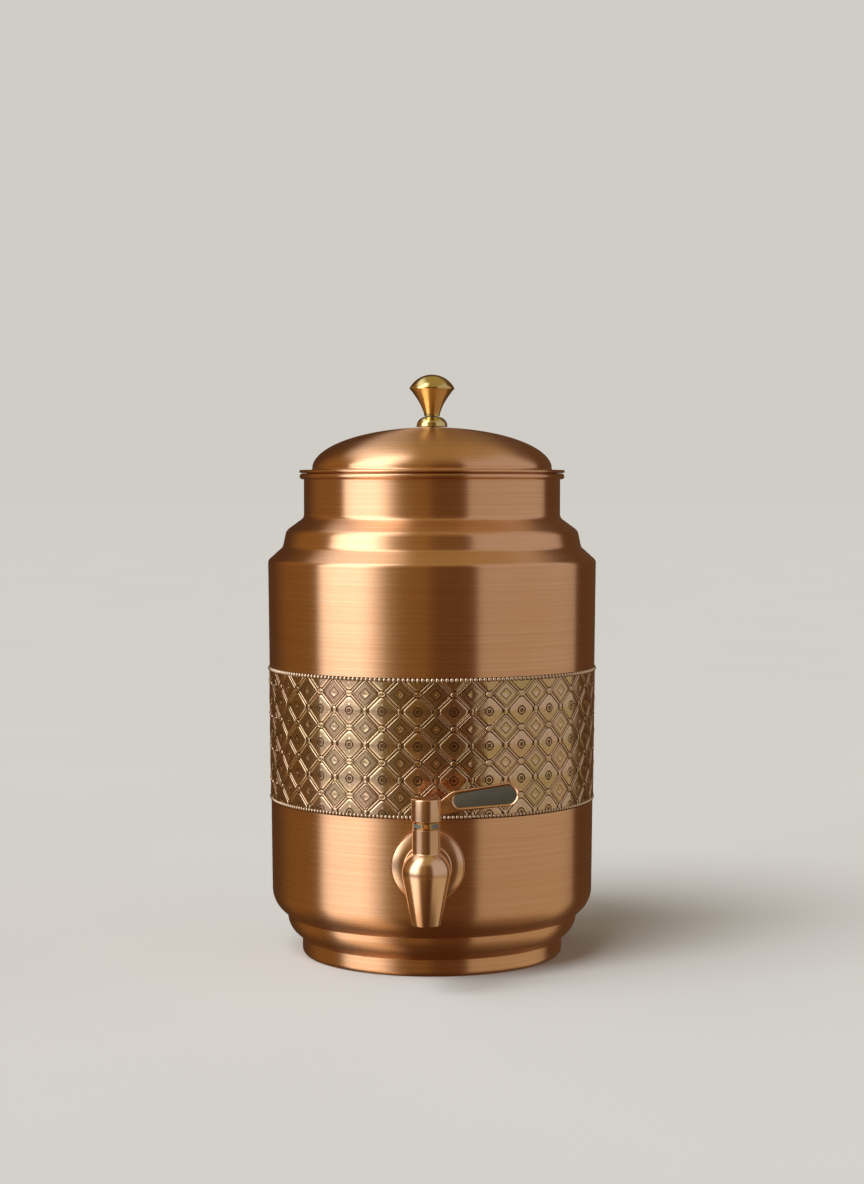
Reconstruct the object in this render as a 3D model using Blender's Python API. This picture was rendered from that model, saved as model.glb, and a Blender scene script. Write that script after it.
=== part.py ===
"""Copper water dispenser: a vessel of two spun shells, an embossed band, a lift-off lid and a lever tap.

Run it with blender --background --python part.py, or from Blender's text editor.
Metres, +Z up. The origin is the middle of the flat base.
The tap points along -Y, and its closed lever along +X.
"""

from math import acos, atan2, cos, degrees, hypot, pi, radians, sin

import bmesh
import bpy

MM = 0.001
GAP = 0.3 * MM  # air kept between two pieces that touch
MERGE = 0.001 * MM
SIDES = 36  # facets round the vessel and the lid
SMALL_SIDES = 24  # facets round the tap, the knob and their fittings
DOWN, INWARD, OUTWARD = -90, -180, 0  # headings in the (radius, height) plane, in degrees

# Vessel wall. It leans in slightly towards the foot.
SHEET = 1.0 * MM
WALL_TOP_RADIUS, WALL_TOP = 100.05 * MM, 238.7 * MM
WALL_FOOT_RADIUS, WALL_FOOT = 97.9 * MM, 40.3 * MM

# Neck and stepped shoulder, from the mouth down.
BEAD_RADIUS, BEAD_CENTRE, BEAD_HEIGHT = 1.8 * MM, 79.0 * MM, 291.6 * MM
NECK_RADIUS, NECK_FOOT = 78.2 * MM, 268.6 * MM
NECK_FILLET, UPPER_SLOPE = 4.0 * MM, -36
RIDGE_EDGE, RIDGE_ROUND, RIDGE_HEADING, RIDGE_FOOT = 87.1 * MM, 6.0 * MM, -78, 250.0 * MM
STEP_FILLET, LOWER_SLOPE = 4.0 * MM, -42
SHOULDER_EDGE, SHOULDER_ROUND = 98.9 * MM, 3.5 * MM

# Stepped foot, from the wall down: two bulges and a short plinth, with a tight crease under each bulge.
BULGE_HEADING, CREASE_ROUND = -140, 1.0 * MM
UPPER_BULGE_ROUND, UPPER_CREASE_RADIUS = 17.0 * MM, 88.9 * MM
LOWER_BULGE_ROUND, LOWER_CREASE_RADIUS = 14.0 * MM, 79.9 * MM
PLINTH_ROUND = 3.0 * MM

# Embossed band, in a shallow recess of the wall between two beaded wires. It hides the lap of the two shells.
RECESS_DEPTH, RECESS_SLOPE = 1.25 * MM, 0.6 * MM
RECESS_BOTTOM, RECESS_TOP = 95.0 * MM, 176.3 * MM
WIRE_RADIUS, WIRE_PROUD = 0.95 * MM, 0.1 * MM
LOWER_WIRE_HEIGHT, UPPER_WIRE_HEIGHT = 96.3 * MM, 175.0 * MM
LAP_EDGE, LAP_JOGGLE, LAP_TOP = 126.0 * MM, 122.0 * MM, 148.0 * MM

# Lid: a dome, elliptical in section, a flange with a folded edge, and a collar that drops into the neck.
DOME_RADIUS, DOME_RISE, DOME_FOOT = 73.2 * MM, 25.3 * MM, 296.2 * MM
DOME_STEPS, DOME_END = 8, 85  # the ellipse stops this many degrees from its top
FLANGE_RADIUS, FLANGE_TOP, FLANGE_FILLET = 81.0 * MM, 295.5 * MM, 1.2 * MM
HEM_WIDTH, HEM_THICKNESS = 2.4 * MM, 1.8 * MM
COLLAR_RADIUS, COLLAR_FOOT, COLLAR_CURL = 76.4 * MM, 282.0 * MM, 1.5 * MM

# Knob of turned brass on a domed rosette, held by a screw from inside the lid.
SCREW_RADIUS, SCREW_HOLE_RADIUS, SCREW_TIP = 1.95 * MM, 2.35 * MM, 338.0 * MM
SCREW_HEAD_RADIUS, SCREW_HEAD_HEIGHT = 3.9 * MM, 2.6 * MM
KNOB_WASHER_RADIUS, KNOB_WASHER_THICKNESS = 7.0 * MM, 1.0 * MM
ROSETTE_RADIUS, ROSETTE_TOP_RADIUS, ROSETTE_TOP = 9.5 * MM, 4.5 * MM, 327.8 * MM
KNOB_STEM_RADIUS, KNOB_LIP_RADIUS, KNOB_LIP_HEIGHT = 4.3 * MM, 12.7 * MM, 343.9 * MM
KNOB_RADIUS, KNOB_WIDEST, KNOB_TOP = 13.7 * MM, 345.4 * MM, 353.6 * MM
KNOB_FLARE = 1.1 * MM  # how far the stem's sides bow inwards from a straight cone

# Tap. Distances called reach are measured from the vessel's axis, along -Y.
TAP_HEIGHT, TAP_REACH = 68.6 * MM, 131.2 * MM
SHANK_RADIUS, SHANK_BORE, THREAD_CLEARANCE = 7.9 * MM, 5.2 * MM, 0.4 * MM
SHANK_START, SHANK_END = 79.0 * MM, 111.7 * MM
TAP_HOLE_RADIUS = 8.5 * MM
FLANGE_PLATE_RADIUS, FLANGE_PLATE_THICKNESS, FLANGE_PLATE_EDGE = 21.2 * MM, 3.0 * MM, 1.3 * MM
OUTER_GASKET_RADIUS, OUTER_GASKET_REACH = 20.4 * MM, 100.0 * MM
INNER_GASKET_RADIUS, INNER_GASKET_REACH = 13.0 * MM, 94.6 * MM
NUT_WASHER_THICKNESS, NUT_THICKNESS, NUT_ACROSS_FLATS = 1.2 * MM, 6.0 * MM, 24.0 * MM
BOSS_RADIUS, BOSS_THICKNESS, BARREL_RADIUS = 13.9 * MM, 3.0 * MM, 10.3 * MM

# Tap body: a ball with a cone that touches it, down to the outlet, and a round neck up to the collar.
BALL_RADIUS, BALL_HEIGHT, OUTLET_RADIUS, OUTLET_HEIGHT = 13.6 * MM, 70.1 * MM, 8.1 * MM, 40.6 * MM
OUTLET_BORE, CHAMBER_BORE, CHAMBER_FOOT = 5.4 * MM, 6.1 * MM, 57.7 * MM
TAP_NECK_RADIUS, TAP_NECK_TOP = 7.8 * MM, 94.8 * MM

# Valve: a hollow plug turned by a spindle. Its side port is shut off until the lever has turned a quarter.
PLUG_RADIUS, PLUG_BORE, PLUG_TOP, PLUG_BORE_TOP = 5.8 * MM, 4.2 * MM, 78.0 * MM, 73.5 * MM
TANG_WIDTH, TANG_LENGTH, TANG_DEPTH = 2.0 * MM, 8.0 * MM, 2.2 * MM
SPINDLE_SHOULDER, SPINDLE_RADIUS = 89.7 * MM, 3.6 * MM
DRIVE_WIDTH, DRIVE_FOOT, DRIVE_TOP = 5.0 * MM, 99.0 * MM, 108.0 * MM
O_RING_HEIGHTS, O_RING_SECTION = (81.8 * MM, 86.2 * MM), 0.55 * MM
GROOVE_RADIUS, GROOVE_HALF_WIDTH = 4.4 * MM, 0.9 * MM
SEAT_RADIUS, SEAT_BORE, SEAT_THICKNESS = 4.9 * MM, 3.7 * MM, 1.9 * MM

# Collar over the valve, with small enamel plates let into it.
RING_RADIUS, RING_TOP, RING_SLEEVE_RADIUS, RING_SLEEVE_FOOT = 7.75 * MM, 98.9 * MM, 5.8 * MM, 90.0 * MM
INSET_COUNT, INSET_SWEEP, INSET_HEIGHT, INSET_DEPTH = 4, 44, 2.2 * MM, 0.8 * MM

# Lever: a round hub and a flat paddle that rises towards its end. Its outline lies in the XZ plane.
HUB_RADIUS, HUB_TOP, HUB_ROUND = 8.5 * MM, 111.9 * MM, 0.9 * MM
ARM_FOOT, ARM_THICKNESS, ARM_ROOT_RUN = 103.1 * MM, 4.6 * MM, 11.0 * MM
ARM_RISE, ARM_RISE_RUN, ARM_BEND = 14, 6.8 * MM, 8.0 * MM
PADDLE_HEADING, PADDLE_RUN, PADDLE_ROUND, PADDLE_TURN = 6.2, 25.8 * MM, 6.45 * MM, 182.5
PADDLE_TOP_RUN, ARM_SWEEP = 28.3 * MM, 30
INLAY_THICKNESS = 0.8 * MM
INLAY_START, INLAY_START_ROUND = (19.2 * MM, 111.0 * MM), 4.2 * MM
INLAY_END, INLAY_END_ROUND = (45.2 * MM, 114.4 * MM), 5.4 * MM
GRUB_RADIUS, GRUB_HEIGHT, GRUB_START, GRUB_END = 1.5 * MM, 104.2 * MM, 3.4 * MM, 7.4 * MM


class Path:
    """An outline drawn as a walk in the (radius, height) plane, of straight runs and bends."""

    def __init__(self, radius, height, heading):
        self.points = [(radius, height)]
        self.heading = heading

    def ahead(self, distance):
        radius, height = self.points[-1]
        angle = radians(self.heading)
        self.points.append((radius + distance * cos(angle), height + distance * sin(angle)))
        return self

    def to_radius(self, radius):
        return self.ahead((radius - self.points[-1][0]) / cos(radians(self.heading)))

    def to_height(self, height):
        return self.ahead((height - self.points[-1][1]) / sin(radians(self.heading)))

    def straight_to(self, radius, height):
        before = self.points[-1]
        self.heading = degrees(atan2(height - before[1], radius - before[0]))
        self.points.append((radius, height))
        return self

    def bend(self, radius, turn, steps=2):
        """Turns left by this many degrees, or right if they are negative, on an arc of this radius."""
        share = turn / steps
        chord = 2 * radius * sin(radians(abs(share)) / 2)
        for _ in range(steps):
            self.heading += share / 2
            self.ahead(chord)
            self.heading += share / 2
        return self

    def turn_to(self, radius, heading, steps=2):
        return self.bend(radius, heading - self.heading, steps)


def arc(centre_radius, centre_height, radius, start, end, steps):
    """Points on a circle in the (radius, height) plane, from one angle to another, in degrees."""
    angles = [radians(start + (end - start) * step / steps) for step in range(steps + 1)]
    return [(centre_radius + radius * cos(a), centre_height + radius * sin(a)) for a in angles]


def offset(points, distance):
    """The line that runs beside these points at this distance, to the right of the walk."""
    moved = []
    for index, (radius, height) in enumerate(points):
        before = points[max(index - 1, 0)]
        after = points[min(index + 1, len(points) - 1)]
        normals = []
        for (r0, h0), (r1, h1) in ((before, (radius, height)), ((radius, height), after)):
            length = hypot(r1 - r0, h1 - h0)
            if length > 0:
                normals.append(((h1 - h0) / length, (r0 - r1) / length))
        across = (normals[0][0] + normals[-1][0], normals[0][1] + normals[-1][1])
        size = hypot(*across)
        reach = distance * 2 / size**2
        moved.append((radius + across[0] * reach, height + across[1] * reach))
    return moved


def thickened(points, thickness):
    """The closed outline of a sheet whose outer face follows these points."""
    return points + offset(points, thickness)[::-1]


def wall_radius(height):
    share = (height - WALL_FOOT) / (WALL_TOP - WALL_FOOT)
    return WALL_FOOT_RADIUS + share * (WALL_TOP_RADIUS - WALL_FOOT_RADIUS)


def make_materials():
    """One Principled material for each finish: colour, metallic value and roughness."""
    finishes = {
        "copper": ((0.80, 0.42, 0.24), 1.0, 0.30),
        "band_metal": ((0.55, 0.40, 0.25), 1.0, 0.32),
        "wire_metal": ((0.72, 0.55, 0.38), 1.0, 0.28),
        "knob_brass": ((0.78, 0.58, 0.24), 1.0, 0.15),
        "tap_metal": ((0.80, 0.50, 0.34), 1.0, 0.20),
        "valve_brass": ((0.70, 0.55, 0.28), 1.0, 0.35),
        "silicone": ((0.72, 0.70, 0.66), 0.0, 0.60),
        "grey_inlay": ((0.10, 0.10, 0.08), 0.0, 0.35),
        "enamel": ((0.16, 0.25, 0.26), 0.0, 0.25),
        "steel": ((0.60, 0.60, 0.60), 1.0, 0.30),
    }
    made = {}
    for name, (colour, metallic, roughness) in finishes.items():
        made[name] = bpy.data.materials.new(name)
        made[name].use_nodes = True
        shader = made[name].node_tree.nodes["Principled BSDF"]
        shader.inputs["Base Color"].default_value = (*colour, 1)
        shader.inputs["Metallic"].default_value = metallic
        shader.inputs["Roughness"].default_value = roughness
    return made


def place(name, mesh, material, parent):
    """Makes a smooth-shaded object of a bmesh. With no material it is a cutter or other helper."""
    data = bpy.data.meshes.new(name)
    mesh.to_mesh(data)
    mesh.free()
    made = bpy.data.objects.new(name, data)
    bpy.context.scene.collection.objects.link(made)
    made.parent = parent
    if material is None:
        made.hide_render = True
        made.display_type = "WIRE"
    else:
        data.materials.append(material)
        data.shade_smooth()
        data.set_sharp_from_angle(angle=radians(35))
    return made


def turned(name, outline, material, parent, sides=SMALL_SIDES):
    """A solid of revolution about Z. The outline is closed, unless both its ends lie on the axis."""
    mesh = bmesh.new()
    corners = [mesh.verts.new((radius, 0, height)) for radius, height in outline]
    pairs = list(zip(corners, corners[1:]))
    if max(outline[0][0], outline[-1][0]) > MERGE:
        pairs.append((corners[-1], corners[0]))
    edges = [mesh.edges.new(pair) for pair in pairs]
    bmesh.ops.spin(
        mesh, geom=corners + edges, cent=(0, 0, 0), axis=(0, 0, 1), angle=2 * pi, steps=sides, use_merge=True
    )
    bmesh.ops.remove_doubles(mesh, verts=mesh.verts, dist=MERGE)
    bmesh.ops.recalc_face_normals(mesh, faces=mesh.faces)
    return place(name, mesh, material, parent)


def pipe(name, outer, inner, start, end, material, parent, sides=SMALL_SIDES):
    """A plain tube or washer, from one height to another."""
    return turned(name, [(inner, start), (outer, start), (outer, end), (inner, end)], material, parent, sides)


def rod(name, radius, start, end, material, parent, sides=SMALL_SIDES):
    return turned(name, [(0, start), (radius, start), (radius, end), (0, end)], material, parent, sides)


def ring(name, centre_radius, height, section, material, parent, sides, steps):
    """A wire ring of round section."""
    outline = arc(centre_radius, height, section, 0, 360, steps)[:-1]
    return turned(name, outline, material, parent, sides)


def box(name, low, high, material, parent):
    mesh = bmesh.new()
    bmesh.ops.create_cube(mesh, size=1)
    size = [b - a for a, b in zip(low, high)]
    middle = [(a + b) / 2 for a, b in zip(low, high)]
    bmesh.ops.scale(mesh, vec=size, verts=mesh.verts)
    bmesh.ops.translate(mesh, vec=middle, verts=mesh.verts)
    return place(name, mesh, material, parent)


def plate(name, outline, near, far, material, parent):
    """A flat piece whose outline lies in the XZ plane, between two distances along Y."""
    mesh = bmesh.new()
    face = mesh.faces.new([mesh.verts.new((x, near, z)) for x, z in outline])
    made = bmesh.ops.extrude_face_region(mesh, geom=[face])["geom"]
    moved = [item for item in made if isinstance(item, bmesh.types.BMVert)]
    bmesh.ops.translate(mesh, vec=(0, far - near, 0), verts=moved)
    bmesh.ops.recalc_face_normals(mesh, faces=mesh.faces)
    return place(name, mesh, material, parent)


def section(inner, outer, middle, height):
    """A rectangle in the (radius, height) plane."""
    low, high = middle - height / 2, middle + height / 2
    return [(inner, low), (outer, low), (outer, high), (inner, high)]


def add_sector(mesh, outline, middle, sweep, steps=4):
    """Adds a solid swept about Z through part of a turn, centred on an angle in degrees."""
    sections = []
    for step in range(steps + 1):
        angle = radians(middle + sweep * (step / steps - 0.5))
        sections.append([mesh.verts.new((r * cos(angle), r * sin(angle), height)) for r, height in outline])
    for here, there in zip(sections, sections[1:]):
        for corners in zip(here, here[1:] + here[:1], there[1:] + there[:1], there):
            mesh.faces.new(corners)
    mesh.faces.new(sections[0])
    mesh.faces.new(sections[-1])


def slot_outline(start, start_round, end, end_round, grown=0.0):
    """A slot with round ends of different sizes, about two centres in the XZ plane."""
    along = degrees(atan2(end[1] - start[1], end[0] - start[0]))
    touch = degrees(acos((start_round - end_round) / hypot(end[0] - start[0], end[1] - start[1])))
    outer = arc(*end, end_round + grown, along - touch, along + touch, 6)
    return outer + arc(*start, start_round + grown, along + touch, along + 360 - touch, 6)


def combine(piece, helper, operation):
    modifier = piece.modifiers.new(f"{operation.lower()} {helper.name}", "BOOLEAN")
    modifier.operation = operation
    modifier.object = helper


def cut(piece, *cutters):
    for cutter in cutters:
        combine(piece, cutter, "DIFFERENCE")


def frame_empty(name, location, parent=None, tilt=0.0):
    made = bpy.data.objects.new(name, None)
    bpy.context.scene.collection.objects.link(made)
    made.parent = parent
    made.location = location
    made.rotation_euler = (tilt, 0, 0)
    return made


def make_vessel(finish, vessel, tap_line):
    """Both shells. The lower one is a cup whose top lies inside the upper one's edge, behind the band."""
    upper = Path(NECK_RADIUS, BEAD_HEIGHT - BEAD_RADIUS, DOWN)
    upper.to_height(NECK_FOOT).turn_to(NECK_FILLET, UPPER_SLOPE)
    upper.to_radius(RIDGE_EDGE).turn_to(RIDGE_ROUND, RIDGE_HEADING)
    upper.to_height(RIDGE_FOOT).turn_to(STEP_FILLET, LOWER_SLOPE)
    upper.to_radius(SHOULDER_EDGE).turn_to(SHOULDER_ROUND, DOWN)
    upper.straight_to(wall_radius(RECESS_TOP), RECESS_TOP)
    upper.straight_to(wall_radius(RECESS_TOP) - RECESS_DEPTH, RECESS_TOP - RECESS_SLOPE)
    upper.straight_to(wall_radius(LAP_EDGE) - RECESS_DEPTH, LAP_EDGE)
    bead = arc(BEAD_CENTRE, BEAD_HEIGHT, BEAD_RADIUS, 180, -90, 6)
    turned("upper_shell", bead + thickened(upper.points, SHEET)[:-1], finish["copper"], vessel, SIDES)

    lap_depth = RECESS_DEPTH + SHEET + GAP
    lower = Path(wall_radius(LAP_TOP) - lap_depth, LAP_TOP, DOWN)
    lower.straight_to(wall_radius(LAP_EDGE) - lap_depth, LAP_EDGE)
    lower.straight_to(wall_radius(LAP_JOGGLE) - RECESS_DEPTH, LAP_JOGGLE)
    lower.straight_to(wall_radius(RECESS_BOTTOM) - RECESS_DEPTH, RECESS_BOTTOM + RECESS_SLOPE)
    lower.straight_to(wall_radius(RECESS_BOTTOM), RECESS_BOTTOM)
    lower.straight_to(WALL_FOOT_RADIUS, WALL_FOOT)
    lower.turn_to(UPPER_BULGE_ROUND, BULGE_HEADING, 3).to_radius(UPPER_CREASE_RADIUS)
    lower.turn_to(CREASE_ROUND, DOWN, 1).turn_to(LOWER_BULGE_ROUND, BULGE_HEADING, 3)
    lower.to_radius(LOWER_CREASE_RADIUS).turn_to(CREASE_ROUND, DOWN, 1)
    lower.to_height(PLINTH_ROUND).turn_to(PLINTH_ROUND, INWARD).to_radius(0)
    shell = turned("lower_shell", thickened(lower.points, SHEET), finish["copper"], vessel, SIDES)
    cut(shell, rod("tap_hole_cutter", TAP_HOLE_RADIUS, SHANK_START, SHANK_END, None, tap_line))


def make_band(finish, vessel):
    """The embossed sleeve and the beaded wires along its two edges."""
    low = LOWER_WIRE_HEIGHT + WIRE_RADIUS + GAP
    high = UPPER_WIRE_HEIGHT - WIRE_RADIUS - GAP
    floor = RECESS_DEPTH - GAP
    outline = [
        (wall_radius(low) - floor, low),
        (wall_radius(low), low),
        (wall_radius(high), high),
        (wall_radius(high) - floor, high),
    ]
    turned("embossed_band", outline, finish["band_metal"], vessel, SIDES)
    for name, height in (("lower_bead_wire", LOWER_WIRE_HEIGHT), ("upper_bead_wire", UPPER_WIRE_HEIGHT)):
        centre = wall_radius(height) + WIRE_PROUD
        ring(name, centre, height, WIRE_RADIUS, finish["wire_metal"], vessel, SIDES, 6)


def make_lid(finish, lid):
    """Domed sheet with a hemmed flange, and the collar soldered under it that centres it in the neck."""
    start = degrees(SCREW_HOLE_RADIUS / DOME_RADIUS)
    angles = [radians(start + (DOME_END - start) * step / DOME_STEPS) for step in range(DOME_STEPS + 1)]
    dome = [(DOME_RADIUS * sin(a), DOME_FOOT + DOME_RISE * cos(a)) for a in angles]
    bend = Path(*dome[-1], DOWN).to_height(FLANGE_TOP + FLANGE_FILLET).turn_to(FLANGE_FILLET, OUTWARD)
    sheet = dome + bend.points[1:] + [(FLANGE_RADIUS - HEM_WIDTH, FLANGE_TOP)]
    fold = HEM_THICKNESS / 2
    edge = arc(FLANGE_RADIUS - fold, FLANGE_TOP - fold, fold, 90, -90, 3)
    hem = edge + [(FLANGE_RADIUS - HEM_WIDTH, FLANGE_TOP - HEM_THICKNESS)]
    turned("lid_shell", sheet + hem + offset(sheet, SHEET)[::-1], finish["copper"], lid, SIDES)

    top = FLANGE_TOP - SHEET - GAP
    skirt = Path(COLLAR_RADIUS, top, DOWN).to_height(COLLAR_FOOT + COLLAR_CURL).bend(COLLAR_CURL, -70)
    turned("lid_collar", thickened(skirt.points, SHEET), finish["copper"], lid, SIDES)


def make_knob(finish, lid):
    dome_top = DOME_FOOT + DOME_RISE
    foot = dome_top + GAP
    width, height = ROSETTE_RADIUS - ROSETTE_TOP_RADIUS, ROSETTE_TOP - foot
    angles = [radians(angle) for angle in range(0, 91, 18)]
    bulge = [(ROSETTE_TOP_RADIUS + width * cos(a), foot + height * sin(a)) for a in angles]
    rosette = [(SCREW_HOLE_RADIUS, foot)] + bulge + [(SCREW_HOLE_RADIUS, ROSETTE_TOP)]
    turned("knob_rosette", rosette, finish["knob_brass"], lid)

    stem_foot = ROSETTE_TOP + GAP
    socket_top = SCREW_TIP + 2 * GAP
    stem = []
    for share in (0, 0.25, 0.5, 0.75, 1):
        cone = KNOB_STEM_RADIUS + share * (KNOB_LIP_RADIUS - KNOB_STEM_RADIUS)
        level = stem_foot + share * (KNOB_LIP_HEIGHT - stem_foot)
        stem.append((cone - KNOB_FLARE * sin(pi * share), level))
    rise = KNOB_TOP - KNOB_WIDEST
    cap = (KNOB_RADIUS**2 + rise**2) / (2 * rise)
    head = arc(0, KNOB_TOP - cap, cap, degrees(acos(KNOB_RADIUS / cap)), 90, 6)
    socket = [(0, socket_top), (SCREW_HOLE_RADIUS, socket_top), (SCREW_HOLE_RADIUS, stem_foot)]
    head[-1] = (0, KNOB_TOP)
    turned("lid_knob", socket + stem + head, finish["knob_brass"], lid)

    under = dome_top - SHEET - 2 * GAP
    washer_foot = under - KNOB_WASHER_THICKNESS
    pipe("knob_washer", KNOB_WASHER_RADIUS, SCREW_HOLE_RADIUS, washer_foot, under, finish["steel"], lid)
    head_top = washer_foot - GAP
    head_foot = head_top - SCREW_HEAD_HEIGHT
    screw = [(0, head_foot), (SCREW_HEAD_RADIUS * 0.6, head_foot), (SCREW_HEAD_RADIUS, head_top - GAP)]
    screw += [(SCREW_HEAD_RADIUS, head_top), (SCREW_RADIUS, head_top)]
    screw += [(SCREW_RADIUS, SCREW_TIP), (0, SCREW_TIP)]
    turned("knob_screw", screw, finish["steel"], lid, 16)


def make_wall_fitting(finish, vessel, tap_line):
    """Shank, flange plate, gaskets, washer and back nut: what clamps the tap to the vessel's wall."""
    hole = SHANK_RADIUS + THREAD_CLEARANCE
    pipe("inlet_shank", SHANK_RADIUS, SHANK_BORE, SHANK_START, SHANK_END, finish["tap_metal"], tap_line)

    around = [
        (0, TAP_HEIGHT - 2 * FLANGE_PLATE_RADIUS),
        (wall_radius(TAP_HEIGHT - 2 * FLANGE_PLATE_RADIUS) + GAP, TAP_HEIGHT - 2 * FLANGE_PLATE_RADIUS),
        (wall_radius(TAP_HEIGHT + 2 * FLANGE_PLATE_RADIUS) + GAP, TAP_HEIGHT + 2 * FLANGE_PLATE_RADIUS),
        (0, TAP_HEIGHT + 2 * FLANGE_PLATE_RADIUS),
    ]
    wall_cutter = turned("wall_cutter", around, None, vessel, SIDES)
    deepest = OUTER_GASKET_REACH - 6 * MM
    outer = pipe(
        "outer_gasket", OUTER_GASKET_RADIUS, hole, deepest, OUTER_GASKET_REACH, finish["silicone"], tap_line
    )
    cut(outer, wall_cutter)

    inside = [(radius - SHEET - 2 * GAP if radius > 0 else 0, height) for radius, height in around]
    cavity = turned("cavity_former", inside, None, vessel, SIDES)
    near, far = INNER_GASKET_REACH, INNER_GASKET_REACH + 6 * MM
    inner = pipe("inner_gasket", INNER_GASKET_RADIUS, hole, near, far, finish["silicone"], tap_line)
    combine(inner, cavity, "INTERSECT")

    back = OUTER_GASKET_REACH + GAP
    front = back + FLANGE_PLATE_THICKNESS
    edge = back + FLANGE_PLATE_EDGE
    outline = [(hole, back), (FLANGE_PLATE_RADIUS, back), (FLANGE_PLATE_RADIUS, edge - GAP)]
    outline += [(FLANGE_PLATE_RADIUS - GAP, edge), (BOSS_RADIUS + 2 * GAP, front), (hole, front)]
    turned("tap_flange_plate", outline, finish["tap_metal"], tap_line, SIDES)

    washer_front = INNER_GASKET_REACH - GAP
    washer_back = washer_front - NUT_WASHER_THICKNESS
    pipe("nut_washer", INNER_GASKET_RADIUS, hole, washer_back, washer_front, finish["valve_brass"], tap_line)
    nut_front = washer_back - GAP
    nut_back = nut_front - NUT_THICKNESS
    corner_radius = NUT_ACROSS_FLATS / 2 / cos(pi / 6)
    nut = rod("back_nut", corner_radius, nut_back, nut_front, finish["valve_brass"], tap_line, 6)
    past = NUT_THICKNESS
    cut(nut, rod("nut_bore_cutter", hole, nut_back - past, nut_front + past, None, tap_line))


def make_tap_body(finish, tap_axis, tap_line):
    """Ball, cone and neck in one casting with the barrel and its boss, bored along both axes."""
    drop = BALL_HEIGHT - OUTLET_HEIGHT
    touch = degrees(atan2(-drop, OUTLET_RADIUS) + acos(BALL_RADIUS / hypot(drop, OUTLET_RADIUS)))
    neck_angle = degrees(acos(TAP_NECK_RADIUS / BALL_RADIUS))
    outline = [(0, OUTLET_HEIGHT), (OUTLET_RADIUS, OUTLET_HEIGHT)]
    outline += arc(0, BALL_HEIGHT, BALL_RADIUS, touch, neck_angle, 8)
    outline += [(TAP_NECK_RADIUS, TAP_NECK_TOP), (0, TAP_NECK_TOP)]
    body = turned("tap_body", outline, finish["tap_metal"], tap_axis, 32)

    boss_back = OUTER_GASKET_REACH + FLANGE_PLATE_THICKNESS + 2 * GAP
    barrel = [
        (0, boss_back),
        (BOSS_RADIUS, boss_back),
        (BOSS_RADIUS, boss_back + BOSS_THICKNESS),
        (BARREL_RADIUS, boss_back + BOSS_THICKNESS),
        (BARREL_RADIUS, TAP_REACH),
        (0, TAP_REACH),
    ]
    combine(body, turned("barrel_former", barrel, None, tap_line, 32), "UNION")

    past = 5 * MM
    chamber = [
        (0, OUTLET_HEIGHT - past),
        (OUTLET_BORE, OUTLET_HEIGHT - past),
        (OUTLET_BORE, CHAMBER_FOOT),
        (CHAMBER_BORE, CHAMBER_FOOT),
        (CHAMBER_BORE, TAP_NECK_TOP + past),
        (0, TAP_NECK_TOP + past),
    ]
    socket = SHANK_RADIUS + GAP
    inlet = [
        (0, boss_back - past),
        (socket, boss_back - past),
        (socket, SHANK_END + GAP),
        (SHANK_BORE, SHANK_END + GAP),
        (SHANK_BORE, TAP_REACH),
        (0, TAP_REACH),
    ]
    cut(
        body,
        turned("chamber_cutter", chamber, None, tap_axis),
        turned("inlet_cutter", inlet, None, tap_line),
    )


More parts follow.
